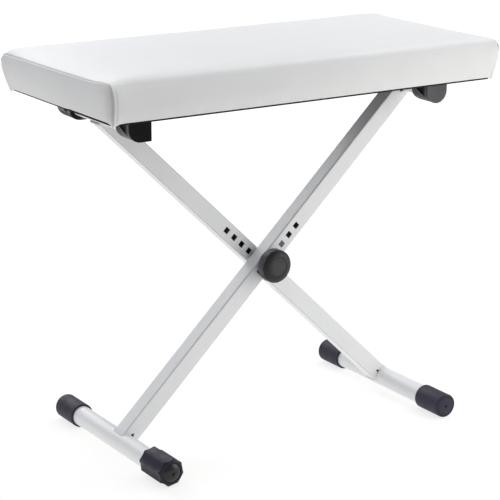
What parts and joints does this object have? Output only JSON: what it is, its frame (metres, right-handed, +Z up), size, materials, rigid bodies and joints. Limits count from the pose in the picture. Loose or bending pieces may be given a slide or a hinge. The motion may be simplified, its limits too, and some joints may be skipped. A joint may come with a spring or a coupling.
{
  "type": "keyboard bench",
  "caption": "Folding X-frame keyboard bench with a padded rectangular leatherette seat, clamping knob at the crossing, square height holes and an eccentric levelling foot.",
  "frame": {"origin": "on the floor, under the centre of the seat, with the bolt in the lowest holes (highest seat)", "axes": "+Z up, +X along the seat to the right as seen from the knob side, +Y from the knob side to the back"},
  "size_m": [0.605, 0.3052, 0.54],
  "materials": {
    "white_leatherette": "smooth fine-grained leatherette, satin",
    "foam": "cut polyurethane foam",
    "plywood": "raw plywood",
    "black_hardboard": "black painted hardboard, matt",
    "black_plastic": "moulded, fine satin texture",
    "black_rubber": "soft moulded rubber-like plastic",
    "white_paint": "white powder coat, satin",
    "zinc_steel": "zinc plated",
    "black_steel": "black phosphated"
  },
  "bodies": {
    "front_leg_frame": {"front_leg": "white_paint", "front_leg_foot_tube": "white_paint", "front_leg_cross_tube": "white_paint", "foot_cap_rear_left": "black_rubber", "pressure_pad": "black_plastic", "leg_spacer_washer": "black_plastic", "front_leg_plug": "black_plastic"},
    "rear_leg_frame": {"rear_leg": "white_paint", "rear_leg_foot_tube": "white_paint", "rear_leg_cross_tube": "white_paint", "foot_cap_front_right": "black_rubber", "foot_cap_rear_right": "black_rubber", "pivot_bolt": "zinc_steel", "rear_leg_strip": "black_plastic"},
    "seat": {"seat_cover": "white_leatherette", "seat_foam": "foam", "seat_board": "plywood", "underside_panel": "black_hardboard", "panel_staples": "zinc_steel", "bracket_front_left": "black_plastic", "bracket_rear_left": "black_plastic", "bracket_front_right": "black_plastic", "bracket_rear_right": "black_plastic", "bracket_screws": "black_steel"},
    "knob": {"knob_body": "black_plastic", "knob_nut": "zinc_steel", "knob_centre_disc": "black_plastic"},
    "levelling_foot": {"levelling_cap": "black_rubber", "levelling_cap_plug": "black_plastic"}
  },
  "joints": [
    {"name": "leg_fold", "type": "hinge", "parent": "front_leg_frame", "child": "rear_leg_frame", "pos_m": [0, 0, 0.23688], "axis": [0, 1, 0], "range_deg": [0, 84]},
    {"name": "seat_tilt", "type": "hinge", "parent": "front_leg_frame", "child": "seat", "pos_m": [0.235, 0, 0.4641], "axis": [0, 1, 0], "range_deg": [0, 42]},
    {"name": "knob_turn", "type": "hinge", "parent": "rear_leg_frame", "child": "knob", "pos_m": [0, 0, 0.23688], "axis": [0, 1, 0], "continuous": true},
    {"name": "levelling_turn", "type": "hinge", "parent": "front_leg_frame", "child": "levelling_foot", "pos_m": [-0.2274, 0, 0.017], "axis": [0, 1, 0], "continuous": true}
  ],
  "couplings": [
    {"joint": "seat_tilt", "follows": "leg_fold", "ratio": 0.5}
  ]
}
